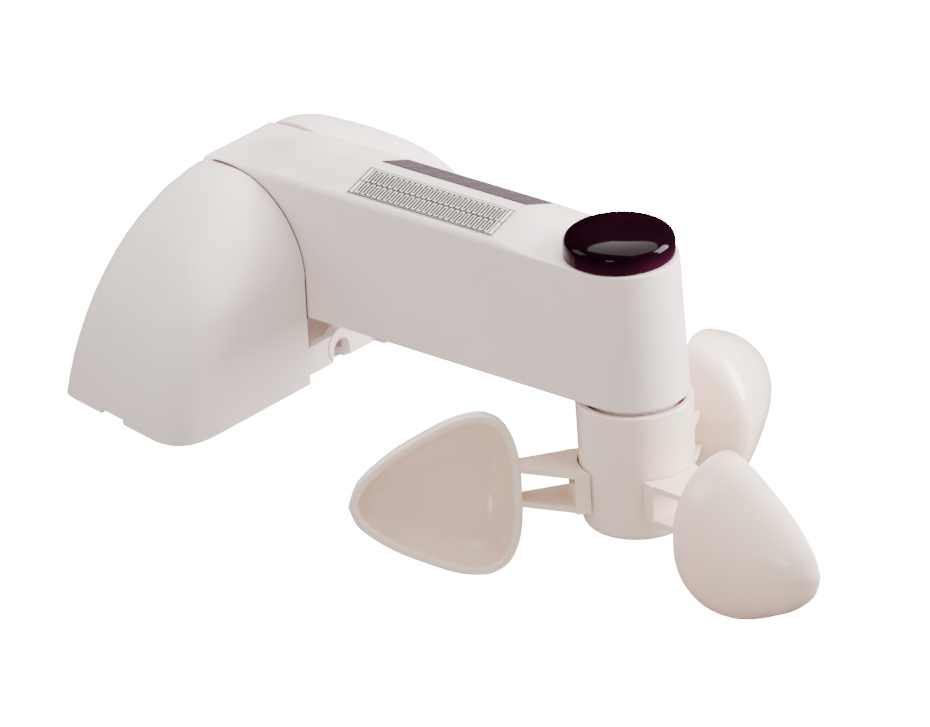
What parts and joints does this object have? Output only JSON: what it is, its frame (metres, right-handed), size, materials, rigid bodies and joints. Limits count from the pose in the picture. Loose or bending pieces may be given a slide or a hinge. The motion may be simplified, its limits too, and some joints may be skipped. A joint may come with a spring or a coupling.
{
  "type": "awning wind sun and rain sensor",
  "caption": "Tilting arm on a domed wall base with a tinted lens dome, a rain pad, a solar strip and a rotor with half-egg cups.",
  "frame": {"origin": "on the mounting face of the wall plate, straight under the arm's tilt pivot", "axes": "+X along the arm towards the rotor, +Z out of the mounting face, +Y towards the far cover"},
  "size_m": [0.2764, 0.1693, 0.115],
  "materials": {
    "shell": "satin moulded",
    "rotor": "satin moulded",
    "lens": "polished dark tint",
    "rain_grid": "printed comb pattern",
    "solar": "polished",
    "board": "solder mask",
    "component": "moulded",
    "steel": "plain",
    "brass": "plain",
    "seal": "matte",
    "cell": "heat shrink",
    "dial": "moulded",
    "button": "moulded",
    "led": "clear epoxy"
  },
  "bodies": {
    "base": {"wall_plate": "shell", "near_cover": "shell", "far_cover": "shell", "pivot_bolt": "steel", "pivot_nut": "steel", "near_washer": "seal", "far_washer": "seal"},
    "arm": {"arm_shell": "shell", "arm_floor": "shell", "floor_screw_1": "steel", "floor_screw_2": "steel", "floor_screw_3": "steel", "floor_screw_4": "steel", "board_screw_1": "steel", "board_screw_2": "steel", "board_screw_3": "steel", "board_screw_4": "steel", "rain_pad": "rain_grid", "solar_panel": "solar", "main_board": "board", "controller_chip": "component", "radio_chip": "component", "charger_chip": "component", "storage_capacitor": "component", "hall_sensor": "component", "board_header": "component", "antenna": "brass", "battery_cell": "cell", "front_contact": "brass", "rear_contact": "brass", "sensor_board": "board", "wind_trimmer": "component", "sun_trimmer": "component", "button_switch": "component", "light_sensor": "component", "status_led": "led", "lower_bearing": "steel", "upper_bearing": "steel", "bearing_seal": "seal"},
    "lens_cap": {"lens": "lens"},
    "wind_setting": {"wind_dial": "dial"},
    "sun_setting": {"sun_dial": "dial"},
    "button": {"setting_button": "button"},
    "rotor": {"rotor_hub": "rotor", "hub_cap": "rotor", "cup_1": "rotor", "cup_2": "rotor", "cup_3": "rotor", "rotor_shaft": "steel", "magnet_wheel": "component", "shaft_nut": "steel"}
  },
  "joints": [
    {"name": "arm_tilt", "type": "hinge", "parent": "base", "child": "arm", "pos_m": [0, 0, 0.0375], "axis": [0, -1, 0], "range_deg": [0, 90]},
    {"name": "rotor_spin", "type": "hinge", "parent": "arm", "child": "rotor", "pos_m": [0.1546, 0, 0], "axis": [0, 0, 1], "continuous": true},
    {"name": "lens_lift", "type": "slide", "parent": "arm", "child": "lens_cap", "axis": [0, 0, 1], "range_m": [0, 0.014]},
    {"name": "wind_dial_turn", "type": "hinge", "parent": "arm", "child": "wind_setting", "pos_m": [0.148, -0.007, 0.068], "axis": [0, 0, 1], "range_deg": [-135, 135]},
    {"name": "sun_dial_turn", "type": "hinge", "parent": "arm", "child": "sun_setting", "pos_m": [0.148, 0.007, 0.068], "axis": [0, 0, 1], "range_deg": [-135, 135]},
    {"name": "button_press", "type": "slide", "parent": "arm", "child": "button", "axis": [0, 0, -1], "range_m": [0, 0.0004], "stiffness_N_per_m": 800}
  ]
}
